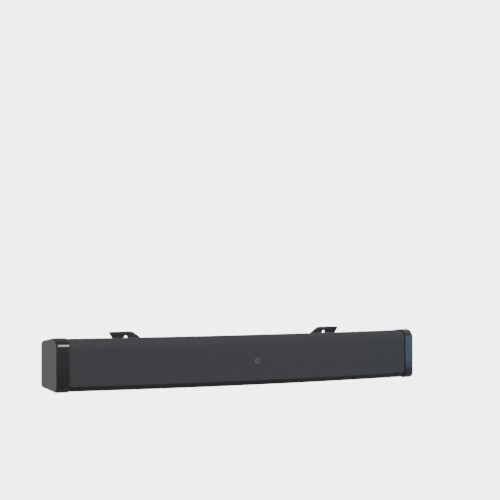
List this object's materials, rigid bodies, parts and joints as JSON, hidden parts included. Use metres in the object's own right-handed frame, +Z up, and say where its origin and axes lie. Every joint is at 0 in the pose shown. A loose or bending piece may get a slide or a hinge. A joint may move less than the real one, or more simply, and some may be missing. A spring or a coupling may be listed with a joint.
{
  "type": "soundbar",
  "caption": "Wide black soundbar with a bowed perforated front, glossy rounded end caps, rear connector tray, top keys and steel hanger ears.",
  "frame": {"origin": "middle of the bounding box in X and Y, on the plane of the rubber feet", "axes": "+X along the bar to the viewer's right, +Y to the wall or display behind, +Z up; the bowed front faces -Y"},
  "size_m": [1.117, 0.1562, 0.1475],
  "materials": {
    "housing": "satin black moulded",
    "cap": "gloss black moulded",
    "rubber": "matte",
    "screw": "dark zinc",
    "grille": "matte charcoal, finely perforated",
    "inner": "matte",
    "badge": "satin dark",
    "steel": "black powder coat",
    "magnet": "sintered",
    "cone": "pressed paper",
    "dome": "coated silk",
    "socket": "satin",
    "board": "solder mask",
    "heat_sink": "brushed",
    "lead": "soft",
    "lens": "polished",
    "button": "satin"
  },
  "bodies": {
    "cabinet": {"rear_housing": "housing", "connector_tray": "housing", "control_panel": "housing", "tweeter_1_faceplate": "housing", "tweeter_2_faceplate": "housing", "end_cap_left": "cap", "end_cap_right": "cap", "foot_front_left": "rubber", "foot_rear_left": "rubber", "foot_front_right": "rubber", "foot_rear_right": "rubber", "woofer_1_surround": "rubber", "woofer_2_surround": "rubber", "woofer_3_surround": "rubber", "woofer_4_surround": "rubber", "end_cap_screw_left": "screw", "end_cap_screw_right": "screw", "bracket_screw_left_1": "screw", "bracket_screw_left_2": "screw", "bracket_screw_right_1": "screw", "bracket_screw_right_2": "screw", "grille_mesh": "grille", "grille_frame": "inner", "front_baffle": "inner", "front_badge": "badge", "hanger_bracket_left": "steel", "hanger_bracket_right": "steel", "woofer_1_basket": "steel", "woofer_2_basket": "steel", "woofer_3_basket": "steel", "woofer_4_basket": "steel", "woofer_1_magnet": "magnet", "woofer_2_magnet": "magnet", "woofer_3_magnet": "magnet", "woofer_4_magnet": "magnet", "tweeter_1_magnet": "magnet", "tweeter_2_magnet": "magnet", "tweeter_1_dome": "dome", "tweeter_2_dome": "dome", "power_inlet": "socket", "hdmi_socket": "socket", "optical_socket": "socket", "usb_socket": "socket", "aux_socket": "socket", "main_board": "board", "power_supply_board": "board", "amplifier_board": "board", "button_board": "board", "heat_sink": "heat_sink", "speaker_lead_left": "lead", "speaker_lead_right": "lead", "remote_receiver": "lens"},
    "cone_1": {"woofer_1_cone": "cone"},
    "cone_2": {"woofer_2_cone": "cone"},
    "cone_3": {"woofer_3_cone": "cone"},
    "cone_4": {"woofer_4_cone": "cone"},
    "power_key": {"button_power": "button"},
    "source_key": {"button_source": "button"},
    "volume_down_key": {"button_volume_down": "button"},
    "volume_up_key": {"button_volume_up": "button"}
  },
  "joints": [
    {"name": "cone_1_stroke", "type": "slide", "parent": "cabinet", "child": "cone_1", "axis": [-0.1447, -0.9895, 0], "range_m": [-0.003, 0.003], "stiffness_N_per_m": 1500},
    {"name": "cone_2_stroke", "type": "slide", "parent": "cabinet", "child": "cone_2", "axis": [-0.1129, -0.9936, 0], "range_m": [-0.003, 0.003], "stiffness_N_per_m": 1500},
    {"name": "cone_3_stroke", "type": "slide", "parent": "cabinet", "child": "cone_3", "axis": [0.1129, -0.9936, 0], "range_m": [-0.003, 0.003], "stiffness_N_per_m": 1500},
    {"name": "cone_4_stroke", "type": "slide", "parent": "cabinet", "child": "cone_4", "axis": [0.1447, -0.9895, 0], "range_m": [-0.003, 0.003], "stiffness_N_per_m": 1500},
    {"name": "power_press", "type": "slide", "parent": "cabinet", "child": "power_key", "axis": [0, -0.077, -0.997], "range_m": [0, 0.0008], "stiffness_N_per_m": 700},
    {"name": "source_press", "type": "slide", "parent": "cabinet", "child": "source_key", "axis": [0, -0.077, -0.997], "range_m": [0, 0.0008], "stiffness_N_per_m": 700},
    {"name": "volume_down_press", "type": "slide", "parent": "cabinet", "child": "volume_down_key", "axis": [0, -0.077, -0.997], "range_m": [0, 0.0008], "stiffness_N_per_m": 700},
    {"name": "volume_up_press", "type": "slide", "parent": "cabinet", "child": "volume_up_key", "axis": [0, -0.077, -0.997], "range_m": [0, 0.0008], "stiffness_N_per_m": 700}
  ]
}
